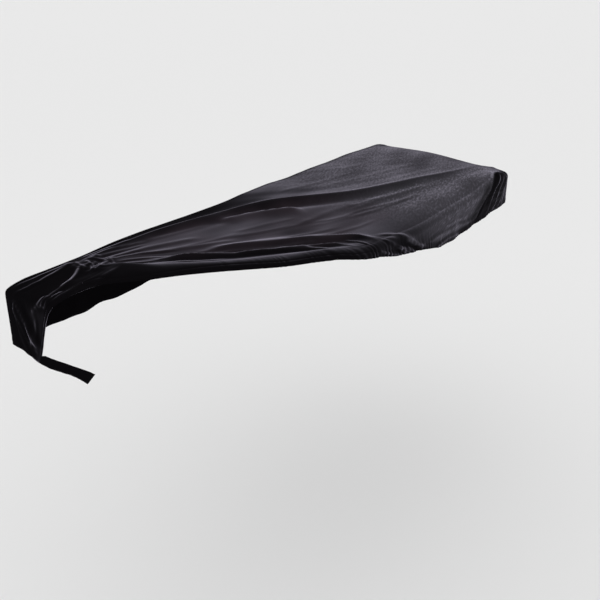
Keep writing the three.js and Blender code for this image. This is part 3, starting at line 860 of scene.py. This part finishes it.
# Each part of the nap fades in over its spans, where a and b are places on the laid-out cloth.
# A plus lean is darker from the front left, a minus is brighter.
napParts = {
    # painted lilac sheen, on the top between the front roll and the main fold
    "painted_lilac_sheen": {"a": (130, 300), "aEnd": (1000, 700), "pastFront": (30, 80), "pastFold": (10, -20)},
    # crushed pile at the front right; its lighter grey base colour is partly a painted sheen
    "crushed_and_sheen": {"a": (640, 960), "fromHem": (2, 30)},
    "crumpled": {"a": (112, 126), "aEnd": (186, 174), "b": (282, 292)},
    "leftEnd": {"lean": 0.7, "a": (-30, 0)},
    "cuff": {"lean": 0.12, "a": (-10, 10), "aEnd": (170, 120), "b": (300, 285)},
    "backStrip": {"lean": 0.65, "aEnd": (760, 420), "pastFold": (0, 12)},
    "backEdge": {"lean": 0.4, "b": (403, 409)},
    "corner": {"lean": 0.9, "a": (1060, 1120), "b": (24, 4)},
    "pocket": {"lean": 0.7, "a": (630, 680), "aEnd": (830, 780)},
    "drawnHem": {"lean": 0.4, "a": (420, 600)},
    "frontTop": {"lean": -0.1, "b": (95, 40)},
    "frontWall": {"lean": -0.06, "b": (20, 0)},
    "frontLit": {"a": (680, 860), "aEnd": (1340, 1320)},
    "belowFold": {"lean": -0.14, "a": (420, 560), "aEnd": (1000, 760)},
    "foldCrest": {"lean": -0.2, "a": (430, 540), "aEnd": (1300, 1180)},
    "brushed": {"lean": 0.035, "a": (240, 420), "b": (0, 40)},
}
napShape = {
    "crushEnd": (1332, 1300),
    "crushEndPerDrop": 0.9,
    "crushPastFold": (-4, -30),
    "crushBehindFold": 0.5,
    "leftEndSlant": (165, 125),
    "leftEndPerDepth": 0.3,
    "leftEndFrom": 330,
    "leftEndFront": (280, 312),
    "leftEndFrontShare": 0.5,
    "crumpledShare": 0.5,
    "cornerReach": 60,
    "besidePleat": 1.4,
    "besidePleatReach": 12,
    "pocketPath": [(640, -16), (680, -16), (724, -30), (768, -48), (800, -62)],
    "pocketReach": 13,
    "drawnReach": 22,
    "drawnTo": 60,
    "frontEdge": -0.12,
    "frontEdgeAt": 1,
    "frontEdgeReach": 12,
    "belowFoldAt": -13,
    "belowFoldReach": 13,
    "foldCrestAt": 3,
    "foldCrestReach": 3.5,
    "brushedWaves": (21, 20, 230, 50),
    "brushedStretch": 2.2,
    "flap": 0.9,
    "ruffle": -0.42,
    "crown": -0.2,
    "crownOnLeftWall": -0.28,
}


def paintTone(obj, sheet):
    n = napShape
    a, b = sheet["laid"].T
    pastFold, fromHem = b - read(mainFold, "y", a), sheet["hemDistance"]
    pastFront = b - crestY(a)
    at = {"a": a, "aEnd": a, "b": b, "pastFront": pastFront, "pastFold": pastFold, "fromHem": fromHem}
    nap = {}
    for name, part in napParts.items():
        shares = [ease(*part[key], at[key]) for key in at if key in part]
        nap[name] = part.get("lean", 1) * np.prod(shares, axis=0)

    # darker parts, each where it is the strongest
    nap["leftEnd"] *= ease(*n["leftEndSlant"], a + n["leftEndPerDepth"] * (b - n["leftEndFrom"]))
    atFront = n["leftEndFrontShare"]
    nap["leftEnd"] *= atFront + (1 - atFront) * ease(*n["leftEndFront"], b)
    fromPleat, pleatSide = alongPath(creases["corner, first"][3], a, b)[:2]
    beside = n["besidePleat"] / napParts["corner"]["lean"] * bell(fromPleat, n["besidePleatReach"])
    nap["corner"] *= (pleatSide < 0) * bell(fromPleat, n["cornerReach"]) * (1 + beside)
    nap["pocket"] *= bell(alongPath(n["pocketPath"], a, b)[0], n["pocketReach"])
    nap["flap"] = n["flap"] * (sheet["alongRim"] > sheet["flapStart"])
    dark = "leftEnd", "cuff", "backStrip", "backEdge", "corner", "pocket", "flap"
    lean = np.max([nap[name] for name in dark], axis=0) * (1 - n["crumpledShare"] * nap["crumpled"])

    # the front's lit edge, up to the drawn hem and the corner's pleats
    drawn = nap["drawnHem"] * np.exp(-fromHem / n["drawnReach"]) * (b < n["drawnTo"])
    lit = n["frontEdge"] * bell(b - n["frontEdgeAt"], n["frontEdgeReach"])
    lit = lit + nap["frontTop"] + nap["frontWall"]
    clear = np.clip(1 - nap["corner"], 0, 1)
    lean = lean + drawn + lit * nap["frontLit"] * clear * (1 - drawn / napParts["drawnHem"]["lean"])

    # folds, brushed cloth, ruffles and the crowns of the creases
    lean = lean + nap["belowFold"] * bell(pastFold - n["belowFoldAt"], n["belowFoldReach"])
    lean = lean + nap["foldCrest"] * bell(pastFold - n["foldCrestAt"], n["foldCrestReach"])
    lean = lean + nap["brushed"] * field(waves(*n["brushedWaves"]), a / n["brushedStretch"], b)
    lean = lean + n["ruffle"] * sheet["ruffle"]
    crown = np.where(a < 0, n["crownOnLeftWall"], n["crown"])
    lean = lean + (crown - np.maximum(lean, 0)) * np.clip(sheet["crown"], 0, 1)

    # the crushed pile's mask, which also places a partly painted lighter grey sheen in the base colour
    crushed_and_sheen = nap["crushed_and_sheen"] * ease(*n["crushEnd"], a + n["crushEndPerDrop"] * np.minimum(b, 0))
    behind = n["crushBehindFold"]
    crushed_and_sheen = crushed_and_sheen * (behind + (1 - behind) * ease(*n["crushPastFold"], pastFold)) * clear
    # red: painted lilac sheen; green: crushed pile with its partly painted sheen; blue: the pile's lean
    tone = np.stack([nap["painted_lilac_sheen"], crushed_and_sheen, lean, np.ones(len(a))], axis=-1)
    layer = obj.data.color_attributes.new("tone", "FLOAT_COLOR", "POINT")
    layer.data.foreach_set("color", tone[sheet["all"]].reshape(-1))


paintTone(cover, sheet)
cover.data.materials.append(velvetMaterial(makeNapGroup()))
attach(cover, "root")
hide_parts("cover")
print("velvet laid on")

# ---- floor and light
studio = {
    "floor": -0.8,
    "floorReach": 60,
    "floorColour": (0.8, 0.8, 0.8, 1),
    "floorRoughness": 0.9,
    "world": 1.0,
    "key": 2,
    "keySize": 2,
    "keyPlace": (0.5, 0.5, 2.2),
}


def makeStudio():
    mesh = bpy.data.meshes.new("floor")
    r, z = studio["floorReach"], studio["floor"]
    mesh.from_pydata([(-r, -r, z), (r, -r, z), (r, r, z), (-r, r, z)], [], [(0, 1, 2, 3)])
    floor = bpy.data.objects.new("floor", mesh)
    bpy.context.scene.collection.objects.link(floor)
    m = bpy.data.materials.new("floor")
    m.use_nodes = True
    p = m.node_tree.nodes["Principled BSDF"]
    p.inputs["Base Color"].default_value = studio["floorColour"]
    p.inputs["Roughness"].default_value = studio["floorRoughness"]
    mesh.materials.append(m)
    world = bpy.data.worlds.new("studio")
    world.use_nodes = True
    sky = world.node_tree.nodes["Background"]
    sky.inputs["Color"].default_value = (1, 1, 1, 1)
    sky.inputs["Strength"].default_value = studio["world"]
    bpy.context.scene.world = world
    light = bpy.data.lights.new("key", "AREA")
    light.energy, light.size = studio["key"], studio["keySize"]
    lamp = bpy.data.objects.new("key", light)
    lamp.location = studio["keyPlace"]
    bpy.context.scene.collection.objects.link(lamp)
    bpy.context.scene.view_settings.view_transform = "Standard"


makeStudio()
print("floor and light set")
